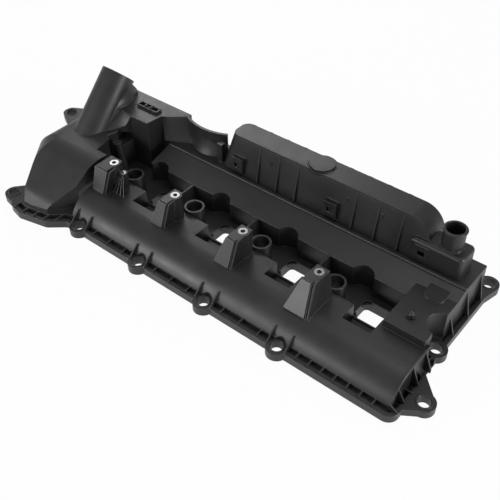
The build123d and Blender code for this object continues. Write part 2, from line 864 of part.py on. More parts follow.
    # holes for the threaded inserts, the ball stud and the screws of the baffle plate
    with Locations(*[(x + insert_offset[0], insert_offset[1], bracket_top_z) for x in row_x]):
        Cylinder(
            insert_r + fit_gap,
            insert_height,
            align=(Align.CENTER, Align.CENTER, Align.MAX),
            mode=Mode.SUBTRACT,
        )
    with Locations((*sensor_place, sensor_boss_top_z)):
        Cylinder(
            sensor_insert_r + fit_gap,
            sensor_insert_height,
            align=(Align.CENTER, Align.CENTER, Align.MAX),
            mode=Mode.SUBTRACT,
        )
    with Locations((*stud_place, deck_top_z)):
        Cylinder(
            stud_pin_r + fit_gap,
            stud_pin_depth,
            align=(Align.CENTER, Align.CENTER, Align.MAX),
            mode=Mode.SUBTRACT,
        )
    with Locations(*baffle_screw_places):
        Cylinder(
            baffle_screw_r + fit_gap,
            baffle_screw_length - baffle_thickness + 1,
            align=(Align.CENTER, Align.CENTER, Align.MIN),
            mode=Mode.SUBTRACT,
        )
    # bolt holes and the reliefs above them
    with Locations(*[(x, y, -1) for x, y in bolt_places]):
        Cylinder(
            bolt_hole_r, flange_height + 2, align=(Align.CENTER, Align.CENTER, Align.MIN), mode=Mode.SUBTRACT
        )
    with Locations(*[(x, y, flange_height) for x, y in bolt_places[: 2 * cylinder_count]]):
        Cylinder(bolt_relief_r, 90, align=(Align.CENTER, Align.CENTER, Align.MIN), mode=Mode.SUBTRACT)
    with Locations((*side_bolt, flange_height)):
        Cylinder(side_relief_r, 90, align=(Align.CENTER, Align.CENTER, Align.MIN), mode=Mode.SUBTRACT)
    # bore of the neck
    with BuildSketch(neck_plane):
        Circle(neck_r - neck_wall)
    extrude(amount=-neck_length + 4, mode=Mode.SUBTRACT)
valve_cover.part.label = "valve_cover"
export_step(valve_cover.part, "parts/valve_cover.step")


# ---------------------------------------------------------------- oil separator
def separator_length(inset):
    """The separator seen from the near side, with its rolled right end."""
    with BuildSketch() as sketch:
        with BuildLine():
            Polyline(
                (separator_right_x - inset, shelf_z + inset),
                (separator_left_x + inset, shelf_z + inset),
                (separator_left_x + separator_lean_x + inset, separator_top_z - inset),
                (separator_right_x - separator_round_r, separator_top_z - inset),
            )
            RadiusArc(
                (separator_right_x - separator_round_r, separator_top_z - inset),
                (separator_right_x - inset, separator_top_z - separator_round_r),
                separator_round_r - inset,
            )
            Line(
                (separator_right_x - inset, separator_top_z - separator_round_r),
                (separator_right_x - inset, shelf_z + inset),
            )
        make_face()
    return sketch.sketch


def separator_section(inset):
    """The separator seen from its left end: the near wall leans back."""
    with BuildSketch() as sketch:
        Polygon(
            (separator_front_y + inset, shelf_z),
            (separator_front_y + separator_front_lean + inset, separator_top_z + 1),
            (separator_back_y - inset, separator_top_z + 1),
            (separator_back_y - inset, shelf_z),
            align=None,
        )
    return sketch.sketch


def separator_block(inset):
    """Body of the separator, drawn smaller by inset."""
    with BuildPart() as block:
        with BuildSketch(Plane.XZ.offset(-separator_back_y - 20)):
            add(separator_length(inset))
        extrude(amount=separator_back_y - separator_front_y + 40, dir=(0, -1, 0))
        with BuildSketch(Plane.YZ.offset(separator_left_x - 20)):
            add(separator_section(inset))
        extrude(amount=400, dir=(1, 0, 0), mode=Mode.INTERSECT)
        left_end = block.faces().sort_by(Axis.X)[0]
        fillet(left_end.edges().sort_by(Axis.Y)[:: len(left_end.edges()) - 1], separator_corner_r - inset)
    return block.part


lid_band_z = separator_top_z - lid_thickness
lid_end_z = separator_top_z - 14.5
lid_inner_r = separator_round_r - lid_thickness
lid_end_x = separator_right_x - separator_round_r + (lid_inner_r**2 - (lid_thickness + lid_inner_r - 14.5) ** 2) ** 0.5
with BuildPart() as lid_zone:
    with BuildSketch(Plane.XZ.offset(-separator_front_y + 40)):
        with BuildLine():
            Polyline(
                (separator_left_x - 20, lid_band_z), (separator_right_x - separator_round_r, lid_band_z)
            )
            RadiusArc(
                (separator_right_x - separator_round_r, lid_band_z), (lid_end_x, lid_end_z), lid_inner_r
            )
            Polyline(
                (lid_end_x, lid_end_z),
                (separator_right_x + 20, lid_end_z),
                (separator_right_x + 20, separator_top_z + 20),
                (separator_left_x - 20, separator_top_z + 20),
                (separator_left_x - 20, lid_band_z),
            )
        make_face()
    extrude(amount=140, dir=(0, 1, 0))

with BuildPart() as separator_housing:
    add(separator_block(0))
    # outlet box at the right end
    with BuildPart(mode=Mode.PRIVATE) as box:
        with Locations((outlet_left_x, outlet_near_y, shelf_z)):
            Box(
                outlet_right_x - outlet_left_x,
                outlet_far_y - outlet_near_y,
                outlet_top_z - shelf_z,
                align=(Align.MIN, Align.MIN, Align.MIN),
            )
        fillet(box.edges().filter_by(Axis.Z).group_by(Axis.X)[-1], radius=6)
        fillet(box.faces().sort_by(Axis.Z)[-1].edges(), radius=4)
    add(box.part)
    # ribs and snap tabs on the near wall
    with BuildSketch(Plane.YZ.offset(-rib / 2), mode=Mode.PRIVATE) as front_rib:
        Polygon(
            (separator_front_y - 3.5, shelf_z),
            (separator_front_y + separator_front_lean - 1, lid_band_z),
            (separator_front_y + separator_front_lean + 1, lid_band_z),
            (separator_front_y + 1, shelf_z),
            align=None,
        )
    front_rib_solid = extrude(front_rib.sketch, amount=rib, mode=Mode.PRIVATE)
    add([front_rib_solid.moved(Location((x, 0, 0))) for x in separator_rib_x])
    with Locations(*[(x, separator_front_y - clip_reach, clip_bottom_z) for x in clip_x]):
        Box(
            clip_width,
            clip_reach + 5,
            clip_top_z - clip_bottom_z,
            align=(Align.CENTER, Align.MIN, Align.MIN),
        )
    # inner space, with the walls that turn the gas flow
    add(separator_block(separator_wall), mode=Mode.SUBTRACT)
    with Locations((outlet_left_x, outlet_near_y + separator_wall, shelf_z + separator_wall)):
        Box(
            outlet_right_x - outlet_left_x - separator_wall,
            outlet_far_y - outlet_near_y - 2 * separator_wall,
            outlet_top_z - shelf_z - 2 * separator_wall,
            align=(Align.MIN, Align.MIN, Align.MIN),
            mode=Mode.SUBTRACT,
        )
    with Locations(*[(x, separator_front_y + 4, shelf_z + 1) for x in baffle_wall_x]):
        Box(
            2,
            separator_back_y - separator_front_y - 5,
            lid_band_z - shelf_z - baffle_wall_gap,
            align=(Align.CENTER, Align.MIN, Align.MIN),
        )
    # windows of the snap tabs
    with Locations(*[(x, separator_front_y - clip_reach - 1, clip_bottom_z + 7) for x in clip_x]):
        Box(
            clip_window[0],
            clip_reach + 1,
            clip_window[1],
            align=(Align.CENTER, Align.MIN, Align.MIN),
            mode=Mode.SUBTRACT,
        )
    # the lid takes the top of the block
    add(lid_zone.part, mode=Mode.SUBTRACT)
    # cup of the pressure valve
    with Locations((*valve_place, valve_floor_z - separator_wall)):
        Cylinder(
            valve_cap_r, valve_depth + separator_wall, align=(Align.CENTER, Align.CENTER, Align.MIN)
        )
    with Locations((*valve_place, valve_floor_z)):
        Cylinder(
            valve_bore_r,
            valve_depth + 1,
            align=(Align.CENTER, Align.CENTER, Align.MIN),
            mode=Mode.SUBTRACT,
        )
    with Locations((*valve_place, separator_top_z - diaphragm_thickness)):
        Cylinder(
            diaphragm_r + fit_gap,
            diaphragm_thickness + 1,
            align=(Align.CENTER, Align.CENTER, Align.MIN),
            mode=Mode.SUBTRACT,
        )
    with Locations((*valve_place, valve_floor_z - separator_wall - 1)):
        Cylinder(
            valve_port_r,
            separator_wall + 2,
            align=(Align.CENTER, Align.CENTER, Align.MIN),
            mode=Mode.SUBTRACT,
        )
    # outlet spigot with its collar and bead
    with BuildSketch(Plane.XZ.offset(-spigot_place[1])):
        with BuildLine():
            Polyline(
                (spigot_place[0], outlet_top_z - 2),
                (spigot_place[0] + spigot_r + spigot_collar, outlet_top_z - 2),
                (spigot_place[0] + spigot_r + spigot_collar, outlet_top_z + 2),
                (spigot_place[0] + spigot_r, outlet_top_z + 2),
                (spigot_place[0] + spigot_r, spigot_top_z),
                (spigot_place[0], spigot_top_z),
                close=True,
            )
        make_face()
    revolve(axis=Axis((*spigot_place, 0), (0, 0, 1)))
    with Locations((*spigot_place, outlet_top_z - 5)):
        Cylinder(
            spigot_bore_r,
            spigot_top_z - outlet_top_z + 6,
            align=(Align.CENTER, Align.CENTER, Align.MIN),
            mode=Mode.SUBTRACT,
        )
separator_housing.part.label = "separator_housing"
export_step(separator_housing.part, "parts/separator_housing.step")

with BuildPart() as separator_lid:
    add(separator_block(0))
    add(lid_zone.part, mode=Mode.INTERSECT)
    with Locations((*valve_place, lid_band_z)):
        Cylinder(
            valve_cap_r + lid_collar, lid_thickness, align=(Align.CENTER, Align.CENTER, Align.MIN)
        )
    with Locations((*valve_place, lid_band_z - 1)):
        Cylinder(
            valve_cap_r + fit_gap,
            lid_thickness + 2,
            align=(Align.CENTER, Align.CENTER, Align.MIN),
            mode=Mode.SUBTRACT,
        )
separator_lid.part.label = "separator_lid"
export_step(separator_lid.part, "parts/separator_lid.step")

# ---------------------------------------------------------------- pressure valve
with BuildPart() as valve_cap:
    with Locations((*valve_place, separator_top_z)):
        Cylinder(valve_cap_r, valve_cap_thickness, align=(Align.CENTER, Align.CENTER, Align.MIN))
valve_cap.part.label = "valve_cap"
export_step(valve_cap.part, "parts/valve_cap.step")

with BuildPart() as valve_diaphragm:
    with Locations((*valve_place, separator_top_z - diaphragm_thickness)):
        Cylinder(diaphragm_r, diaphragm_thickness, align=(Align.CENTER, Align.CENTER, Align.MIN))
valve_diaphragm.part.label = "valve_diaphragm"
export_step(valve_diaphragm.part, "parts/valve_diaphragm.step")

# ---------------------------------------------------------------- inserts and ball stud
with BuildPart() as coil_inserts:
    with Locations(*[(x + insert_offset[0], insert_offset[1], bracket_top_z) for x in row_x]):
        Cylinder(insert_r, insert_height, align=(Align.CENTER, Align.CENTER, Align.MAX))
        Cylinder(
            insert_bore_r, insert_height, align=(Align.CENTER, Align.CENTER, Align.MAX), mode=Mode.SUBTRACT
        )
coil_inserts.part.label = "coil_inserts"
export_step(coil_inserts.part, "parts/coil_inserts.step")

with BuildPart() as sensor_insert:
    with Locations((*sensor_place, sensor_boss_top_z)):
        Cylinder(sensor_insert_r, sensor_insert_height, align=(Align.CENTER, Align.CENTER, Align.MAX))
        Cylinder(
            sensor_bore_r,
            sensor_insert_height,
            align=(Align.CENTER, Align.CENTER, Align.MAX),
            mode=Mode.SUBTRACT,
        )
sensor_insert.part.label = "sensor_insert"
export_step(sensor_insert.part, "parts/sensor_insert.step")

stud_pin_bottom_z = deck_top_z - stud_pin_depth
with BuildPart() as ball_stud:
    with Locations((*stud_place, deck_top_z)):
        Cylinder(stud_foot_r, stud_foot, align=(Align.CENTER, Align.CENTER, Align.MIN))
    with Locations((*stud_place, stud_pin_bottom_z)):
        Cylinder(
            stud_pin_r,
            deck_top_z + stud_height - stud_ball_r - stud_pin_bottom_z,
            align=(Align.CENTER, Align.CENTER, Align.MIN),
        )
    stud_ball_z = deck_top_z + stud_height - stud_ball_r
    with BuildSketch(Plane.XZ.offset(-stud_place[1])):
        with Locations((stud_place[0], stud_ball_z)):
            RegularPolygon(stud_ball_r, 10)
            with Locations((-stud_ball_r, 0)):
                Rectangle(2 * stud_ball_r, 4 * stud_ball_r, mode=Mode.SUBTRACT)
    revolve(axis=Axis((*stud_place, 0), (0, 0, 1)))
ball_stud.part.label = "ball_stud"
export_step(ball_stud.part, "parts/ball_stud.step")

# ---------------------------------------------------------------- seals
with BuildPart() as cover_gasket:
    with BuildSketch():
        add(gasket_ring(gasket_play))
    extrude(amount=gasket_height)
cover_gasket.part.label = "cover_gasket"
export_step(cover_gasket.part, "parts/cover_gasket.step")

with BuildPart() as coil_well_seals:
    with Locations(*[(x + tube_offset[0], tube_offset[1], 0) for x in row_x]):
        Cylinder(tube_seal_r, gasket_groove_depth, align=(Align.CENTER, Align.CENTER, Align.MIN))
        Cylinder(
            tube_seal_bore_r,
            gasket_groove_depth,
            align=(Align.CENTER, Align.CENTER, Align.MIN),
            mode=Mode.SUBTRACT,
        )
coil_well_seals.part.label = "coil_well_seals"
export_step(coil_well_seals.part, "parts/coil_well_seals.step")

with BuildPart() as window_seals:
    with BuildSketch():
        add(window_seal_rings(gasket_play))
    extrude(amount=gasket_height)
window_seals.part.label = "window_seals"
export_step(window_seals.part, "parts/window_seals.step")

# ---------------------------------------------------------------- baffle plate and its screws
baffle_length = far_body_length - 2 * baffle_end_gap
baffle_middle_x = slope_left_x + far_body_length / 2
with BuildPart() as baffle_plate:
    with BuildSketch(Plane.XY.offset(baffle_top_z - baffle_thickness)):
        with Locations((baffle_middle_x, (baffle_near_y + baffle_far_y) / 2)):
            Rectangle(baffle_length, baffle_far_y - baffle_near_y)
        with Locations(*[(x, y) for x, y, z in baffle_screw_places]):
            Circle(baffle_screw_r + fit_gap, mode=Mode.SUBTRACT)
        with Locations(*[(x + 25, (baffle_near_y + baffle_far_y) / 2) for x in baffle_post_x[:-1]]):
            Rectangle(*baffle_drain, mode=Mode.SUBTRACT)
    extrude(amount=baffle_thickness)
baffle_plate.part.label = "baffle_plate"
export_step(baffle_plate.part, "parts/baffle_plate.step")

with BuildPart() as baffle_screws:
    with Locations(*[(x, y, z - baffle_thickness) for x, y, z in baffle_screw_places]):
        Cylinder(baffle_screw_r, baffle_screw_length, align=(Align.CENTER, Align.CENTER, Align.MIN))
        Cylinder(baffle_screw_head_r, baffle_screw_head, align=(Align.CENTER, Align.CENTER, Align.MAX))
baffle_screws.part.label = "baffle_screws"
export_step(baffle_screws.part, "parts/baffle_screws.step")
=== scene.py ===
# %% [markdown]
# # An engine valve cover, step by step
#
# This lesson dresses the solids of a moulded valve cover.  The shapes come from the
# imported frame, in metres, so nothing here has to be fitted by eye.  What is left for
# Blender is the finish of each material, the small trim that a plain solid lacks, and
# the light and the camera.

# %% Load the frame
import json
from math import cos, pi, radians, sin

import bmesh
import bpy
from mathutils import Matrix, Vector


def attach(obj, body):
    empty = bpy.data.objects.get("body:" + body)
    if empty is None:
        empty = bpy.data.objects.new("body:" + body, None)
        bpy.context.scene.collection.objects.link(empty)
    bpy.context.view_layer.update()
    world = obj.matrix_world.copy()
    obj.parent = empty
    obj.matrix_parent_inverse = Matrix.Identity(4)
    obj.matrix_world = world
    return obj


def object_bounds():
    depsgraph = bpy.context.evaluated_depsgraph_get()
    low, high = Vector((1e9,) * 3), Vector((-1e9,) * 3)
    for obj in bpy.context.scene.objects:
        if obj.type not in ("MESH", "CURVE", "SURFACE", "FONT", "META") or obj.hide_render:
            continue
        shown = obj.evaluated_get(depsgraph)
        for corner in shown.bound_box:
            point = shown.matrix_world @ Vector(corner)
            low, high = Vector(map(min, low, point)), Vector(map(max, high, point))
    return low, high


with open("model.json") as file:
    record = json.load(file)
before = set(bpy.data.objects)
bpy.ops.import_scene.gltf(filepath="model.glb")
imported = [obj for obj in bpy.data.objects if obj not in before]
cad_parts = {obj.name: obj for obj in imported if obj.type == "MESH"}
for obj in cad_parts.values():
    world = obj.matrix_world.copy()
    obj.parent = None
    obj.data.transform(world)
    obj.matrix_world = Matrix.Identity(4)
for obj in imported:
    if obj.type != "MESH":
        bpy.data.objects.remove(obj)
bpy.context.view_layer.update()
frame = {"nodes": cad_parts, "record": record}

nodes = frame["nodes"]
print("nodes:", ", ".join(sorted(nodes)))

# %% [markdown]
# ## Writing shader maths as sums
#
# A material is a net of small nodes.  Placing each of them by hand hides what the net
# works out, so one small class wraps the output of a node and lets Python's own signs
# make the Math nodes.  A line such as `1 - mask * 0.4` then reads as what it does.


# %% A number that lives in a node tree
class Number:
    """Output of a node that can be added to, multiplied and so on."""

    def __init__(self, net, socket):
        self.net = net
        self.socket = socket

    def _maths(self, operation, *values):
        settings = {"operation": operation}
        return self.net.node("ShaderNodeMath", settings, dict(enumerate(values)))["Value"]

    def __add__(self, other):
        return self._maths("ADD", self, other)

    def __radd__(self, other):
        return self._maths("ADD", other, self)

    def __sub__(self, other):
        return self._maths("SUBTRACT", self, other)

    def __rsub__(self, other):
        return self._maths("SUBTRACT", other, self)

    def __mul__(self, other):
        return self._maths("MULTIPLY", self, other)

    def __rmul__(self, other):
        return self._maths("MULTIPLY", other, self)

    def wave(self):
        """The sine of the number, which swings between -1 and 1."""
        return self._maths("SINE", self)

    def between(self, low, high):
        """0 below low, 1 above high and a smooth step in the middle."""
        return self.net.node(
            "ShaderNodeMapRange",
            {"interpolation_type": "SMOOTHSTEP"},
            {"Value": self, "From Min": low, "From Max": high},
        )["Result"]


print("numbers in a net can be added, subtracted and multiplied")

# %% [markdown]
# ## One way to add a node
#
# Every node needs the same three things: its kind, its settings, and a value or a link
# for each of its sockets.  One method does them in that order, since some settings
# change which sockets there are.  It hands back the outputs by their names, so a line
# says which output it takes.


# %% The net of nodes
class Net:
    """A node tree with one way to add any node."""

    def __init__(self, tree):
        self.tree = tree
        tree.nodes.clear()

    def node(self, kind, settings=None, values=None):
        """Adds a node with its settings and its sockets, and wraps its outputs by name."""
        made = self.tree.nodes.new(kind)
        for name, setting in (settings or {}).items():
            if name == "stops":
                self._set_stops(made.color_ramp, setting)
            else:
                setattr(made, name, setting)
        for name, value in (values or {}).items():
            socket = made.inputs[name]
            if isinstance(value, Number):
                self.tree.links.new(value.socket, socket)
            else:
                socket.default_value = value
        return {output.name: Number(self, output) for output in made.outputs if output.enabled}

    @staticmethod
    def _set_stops(ramp, stops):
        """Gives a colour ramp its stops, each a place between 0 and 1 and a colour."""
        while len(ramp.elements) < len(stops):
            ramp.elements.new(0.5)
        for element, (place, colour) in zip(ramp.elements, stops):
            element.position = place
            element.color = (*colour, 1)


def shades(colour, levels):
    """A colour made darker or brighter by each level."""
    return [level * part for level, part in zip(levels, colour)]


print("one method adds every node")

# %% [markdown]
# ## A material and its noise
#
# Each pattern is placed by Object coordinates, which are metres on the piece.  The
# number of lumps to the metre then says how large a mark really is, and it stays the
# same on a small insert and on the long cover.


# %% An empty material and a noise
def new_material(name):
    """An empty material and its net, with the place on the piece in metres."""
    material = bpy.data.materials.new(name)
    material.use_nodes = True
    net = Net(material.node_tree)
    place = net.node("ShaderNodeTexCoord")["Object"]
    return material, net, place


def noise(net, place, lumps, detail=2.0, roughness=0.5):
    """Noise between 0 and 1 with so many lumps to the metre."""
    return net.node(
        "ShaderNodeTexNoise",
        None,
        {"Vector": place, "Scale": lumps, "Detail": detail, "Roughness": roughness},
    )["Fac"]


def finish_material(net, skin):
    """Ends a net in a Principled shader with the given values."""
    shader = net.node("ShaderNodeBsdfPrincipled", None, skin)["BSDF"]
    net.node("ShaderNodeOutputMaterial", None, {"Surface": shader})


print("material helpers are ready")

# %% [markdown]
# ## Moulded nylon
#
# The cover is injection moulded from black nylon filled with short glass fibres.  The
# skin that the steel mould leaves is satin, with a very fine spark-eroded grain, and it
# drifts a little in gloss where the plastic flowed and cooled.  Its edges are never
# sharp, because the mould rounds them a little.  A Bevel node gives every edge of the
# solid that small round, and comparing the rounded normal with the flat one marks the
# edges.  Handling polishes them a little smoother, and a painted highlight makes them lighter.

# %% The nylon of the cover and of the separator
edge_round = 0.0009             # metres
grain_depth = 0.00012           # metres
flow_tints = (                  # place in the flow, and the tone's share in each colour
    (0.3, (0.80, 0.81, 0.84)),
    (0.5, (1.0, 1.01, 1.03)),
    (0.7, (1.24, 1.25, 1.27)),
)
edge_highlight_tint = (6.0, 6.0, 6.1)     # the painted highlight's colour on an edge, against the skin's tone
edge_highlight_share = 0.7                # how much of the painted highlight shows


def nylon(name, tone, gloss, grain):
    """Black filled nylon: tone is its grey, gloss is its roughness and grain its bump."""
    grey = (tone, tone, tone)
    material, net, place = new_material(name)
    flow = noise(net, place, 14, 3, 0.6)
    cloud = noise(net, place, 55, 2, 0.5)
    fibre = noise(net, place, 900, 2, 0.6)
    rounded = net.node("ShaderNodeBevel", {"samples": 4}, {"Radius": edge_round})["Normal"]
    flat = net.node("ShaderNodeNewGeometry")["True Normal"]
    likeness = net.node(
        "ShaderNodeVectorMath", {"operation": "DOT_PRODUCT"}, {0: rounded, 1: flat}
    )["Value"]
    edge = 1 - likeness.between(0.86, 0.995)
    colour = net.node(
        "ShaderNodeValToRGB",
        {"stops": [(stop, shades(grey, tint)) for stop, tint in flow_tints]},
        {"Fac": flow * 0.5 + cloud * 0.3 + fibre * 0.2},
    )["Color"]
    # Painted highlight: the colour of the edges is mixed towards a grey six times the skin's
    # tone.
    highlighted_colour = net.node(
        "ShaderNodeMix",
        {"data_type": "RGBA"},
        {"Factor": edge * edge_highlight_share, "A": colour, "B": (*shades(grey, edge_highlight_tint), 1)},
    )["Result"]
    relief = fibre * 0.7 + noise(net, place, 2400, 1) * 0.3
    bump = net.node(
        "ShaderNodeBump",
        None,
        {"Strength": grain, "Distance": grain_depth, "Height": relief, "Normal": rounded},
    )["Normal"]
    roughness = gloss + (flow - 0.5) * 0.24 + (cloud - 0.5) * 0.12 - edge * 0.14
    finish_material(net, {"Base Color": highlighted_colour, "Roughness": roughness, "Normal": bump})
    return material


cover_nylon = nylon("cover_nylon", tone=0.0145, gloss=0.42, grain=0.45)
separator_nylon = nylon("separator_nylon", tone=0.0115, gloss=0.42, grain=0.40)
# The panels' nylon is painted over three times lighter than the cover's, a painted highlight for
# the light their leaning fronts catch; its lower roughness is the tool's polish.
panel_nylon_painted_lighter = nylon("panel_nylon_painted_lighter", tone=0.050, gloss=0.32, grain=0.20)
print("nylon materials:", cover_nylon.name, separator_nylon.name, panel_nylon_painted_lighter.name)

# %% [markdown]
# ## Turned steel
#
# The threaded inserts, the ball stud and the screws are small turned pieces of steel.
# Turning leaves fine rings, so both the bump and the roughness follow the height on the
# piece.  A noise on top smears them, as the oil of the machine does.

# %% The steel of the inserts, the stud and the screws
ring_turns = 26000              # radians of the ring pattern to a metre of height
dulled = (0.82, 0.82, 0.82)     # the darkest smear against the clean steel


def turned_steel(name, colour, gloss):
    """Turned steel with fine rings round its axis."""
    material, net, place = new_material(name)
    height = net.node("ShaderNodeSeparateXYZ", None, {"Vector": place})["Z"]
    rings = (height * ring_turns).wave()
    smear = noise(net, place, 700, 3, 0.6)
    tint = net.node(
        "ShaderNodeValToRGB",
        {"stops": [(0.3, shades(colour, dulled)), (0.7, colour)]},
        {"Fac": smear},
    )["Color"]
    bump = net.node(
        "ShaderNodeBump",
        None,
        {"Strength": 0.25, "Distance": 0.00004, "Height": rings * 0.5 + smear},
    )["Normal"]
    roughness = gloss + rings * 0.03 + (smear - 0.5) * 0.2
    finish_material(
        net, {"Base Color": tint, "Metallic": 1.0, "Roughness": roughness, "Normal": bump}
    )
    return material


insert_steel = turned_steel("insert_steel", (0.46, 0.455, 0.44), gloss=0.30)
stud_steel = turned_steel("stud_steel", (0.10, 0.10, 0.105), gloss=0.30)
zinc_steel = turned_steel("zinc_steel", (0.66, 0.66, 0.62), gloss=0.38)
print("steels:", insert_steel.name, stud_steel.name, zinc_steel.name)

# %% [markdown]
# ## Rubber
#
# The gasket, the ring seals and the diaphragm are dull black rubber.  Wax that comes to
# the skin leaves a pale bloom, which is one slow noise in the colour, and the pores are
# a fine one in the bump.


# %% The rubber of the seals and of the diaphragm
def rubber(name, tone):
    """Dull rubber with a pale bloom."""
    material, net, place = new_material(name)
    bloom = noise(net, place, 90, 3, 0.6)
    pores = noise(net, place, 3000, 2, 0.5)
    bare, bloomed = (tone, tone, tone * 1.02), (tone * 1.9, tone * 1.9, tone * 1.95)
    colour = net.node(
        "ShaderNodeValToRGB", {"stops": [(0.35, bare), (0.75, bloomed)]}, {"Fac": bloom}
    )["Color"]
    bump = net.node(
        "ShaderNodeBump", None, {"Strength": 0.3, "Distance": 0.00005, "Height": pores}
    )["Normal"]
    roughness = 0.72 + bloom * 0.15
    finish_material(net, {"Base Color": colour, "Roughness": roughness, "Normal": bump})
    return material


seal_rubber = rubber("seal_rubber", 0.018)
diaphragm_rubber = rubber("diaphragm_rubber", 0.022)
print("rubbers:", seal_rubber.name, diaphragm_rubber.name)

# %% [markdown]
# ## A finish for each solid
#
# The record of the frame says which material slot each solid has.  A table from slot to
# finish is all that is needed to dress them, and the pieces that are added later use
# the same table.

# %% Dress the solids
finishes = {
    "steel_insert": insert_steel,
    "stud_steel": stud_steel,
    "screw_steel": zinc_steel,
    "seal_rubber": seal_rubber,
    "diaphragm_rubber": diaphragm_rubber,
    "cover_nylon": cover_nylon,
    "separator_nylon": separator_nylon,
}
slot_of_node = {row["node"]: row["material_slot"] for row in frame["record"]["subparts"]}
for node_name, node in nodes.items():
    finish = finishes[slot_of_node[node_name]]
    materials = node.data.materials
    if not materials:
        materials.append(finish)
    for index in range(len(materials)):
        materials[index] = finish
    print(f"{node_name:20s} {finish.name:18s} {len(node.data.polygons)} faces")

# %% [markdown]
# ## From points to a piece
#
# The solids carry the main forms.  What they lack is added here: soft blends between two
# forms, panels, round beads and small blocks.  A piece rides with the cover, and its
# faces point outwards, so that its light is right.

# %% Helpers for pieces
sharp_angle = radians(32)       # a fold past this stays a sharp edge


def finished_mesh(name, points, faces):
    """A mesh from points in millimetres, with its faces outwards."""
    mesh = bpy.data.meshes.new(name)
    mesh.from_pydata([Vector(point) / 1000 for point in points], [], faces)
    skin = bmesh.new()
    skin.from_mesh(mesh)
    bmesh.ops.recalc_face_normals(skin, faces=skin.faces)
    skin.to_mesh(mesh)
    skin.free()
    return mesh


def add_piece(name, mesh, slot_name, finish=None):
    """Puts a mesh into the scene with its finish, and lets it move with the cover."""
    mesh.shade_smooth()
    mesh.set_sharp_from_angle(angle=sharp_angle)
    mesh.materials.clear()
    mesh.materials.append(finish or finishes[slot_name])
    piece = bpy.data.objects.new(name, mesh)
    bpy.context.scene.collection.objects.link(piece)
    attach(piece, "root")
    print(f"{name:20s} {len(mesh.polygons)} faces")
    return piece


def add_body(name, body, finish=None):
    """Adds points and faces as a piece of the cover's own moulding."""
    return add_piece(name, finished_mesh(name, *body), "cover_nylon", finish)


print("helpers for pieces are ready")

# %% [markdown]
# ## Closed bodies by lofting
#
# Blends are lofts, which means that closed outlines stand one behind the other and a
# skin of faces joins them.  That is how a mould maker thinks of them, and it always
# gives a closed body.  Three points and a sum give each outline its hollow curve.


# %% Helpers for closed bodies
def loft(sections):
    """Points and faces of a closed body through outlines with the same number of points."""
    count = len(sections[0])
    last = (len(sections) - 1) * count
    points = [point for section in sections for point in section]
    faces = [
        (row + side, row + (side + 1) % count,
         row + count + (side + 1) % count, row + count + side)
        for row in range(0, last, count)
        for side in range(count)
    ]
    faces.append(tuple(range(count)))
    faces.append(tuple(range(last, last + count)))
    return points, faces


def join(*bodies):
    """Points and faces of several bodies as one piece."""
    points, faces = [], []
    for body_points, body_faces in bodies:
        faces += [tuple(len(points) + corner for corner in face) for face in body_faces]
        points += body_points
    return points, faces


def sag(start, bend, end, steps):
    """Points of a soft curve from start to end that is drawn towards bend."""
    start, bend, end = Vector(start), Vector(bend), Vector(end)
    return [
        start * (1 - t) ** 2 + bend * 2 * t * (1 - t) + end * t**2
        for t in [step / steps for step in range(steps + 1)]
    ]


print("helpers for closed bodies are ready")

# %% [markdown]
# ## The web between the neck and the valve housing
#
# The filler neck leans against the tall housing.  On the moulding one soft surface runs
# from the neck's side over to the housing's roof, and further down it falls to the dome.
# The upper rail of the loft lies on the neck and the lower rail on the roof, and each
# outline between them sags like a fillet.

# %% Neck web
neck_axis_x, neck_axis_drop, neck_radius = -236.0, 54.1, 21.75
neck_slant = 0.7071             # the neck leans by 45 degrees
web_sink = 0.4                  # the web starts this far inside the neck's skin
web_angle = 6                   # degrees round the neck at which it leaves the skin


def on_neck(y, angle):
    """A point on the neck's skin beside the axis point at y."""
    across = neck_radius * cos(radians(angle)) - web_sink
    over = neck_radius * sin(radians(angle)) * neck_slant
    return Vector((neck_axis_x + across, y - over, y - neck_axis_drop + over))


web_rails = [                   # y of the axis point, and the foot on the housing or dome
    (113, (-213, 109, 60.9)), (120, (-212, 117, 62.0)),
    (128, (-211, 127, 70.5)), (136, (-208.5, 137.5, 81.6)),
    (143, (-207, 147, 82.05)), (150, (-209, 158, 82.05)),
    (157, (-214, 169, 82.05)), (162.5, (-222, 180.5, 82.05)),
]
web_sections = []
for y, foot in web_rails:
    top, foot = on_neck(y, web_angle), Vector(foot)
    bend = (top.x * 0.6 + foot.x * 0.4, foot.y, foot.z + 0.12 * (top.z - foot.z))
    corner = Vector((min(foot.x - 6, -217), foot.y - 1, foot.z - 4))
    web_sections.append([*sag(top, bend, foot, 6), corner])
add_body("neck_web", loft(web_sections))

# %% [markdown]
# ## The shoulder below the roof
#
# Left of the housing's front corner the wall doesn't stand upright: it leans out as a
# shoulder from the roof down to the dome.  Its outlines are short at the corner and get
# longer towards the neck, and their lower ends lie inside the dome.

# %% Neck shoulder
shoulder_floor = 58.2           # inside the dome, where nobody sees it
shoulder_rails = [              # a point at the roof and a point at the foot
    ((-187.4, 134.6, 81.9), (-193, 128, 68)),
    ((-195, 136, 81.9), (-199.5, 123.5, 65)),
    ((-204, 137.5, 81.9), (-206, 118, 62)),
    ((-213, 139, 81.9), (-213, 111, 61.05)),
    ((-228, 143, 81.9), (-228, 106, 61.05)),
]
shoulder_sections = []
for top, foot in shoulder_rails:
    bend = (0.5 * (top[0] + foot[0]), 0.5 * (top[1] + foot[1]), 0.6 * foot[2] + 0.4 * top[2])
    shoulder_sections.append(
        [*sag(top, bend, foot, 5),
         (foot[0], foot[1], shoulder_floor), (top[0], top[1] + 1, shoulder_floor)]
    )
add_body("neck_shoulder", loft(shoulder_sections))

# %% [markdown]
# ## The leaning panel beside the housing
#
# Right of the housing the wall leans back in a hollow curve before it meets the low wall
# of the separator.  A leaning face leaves the mould easily and catches the light, so it
# is one more loft, from the shelf up to the rim.

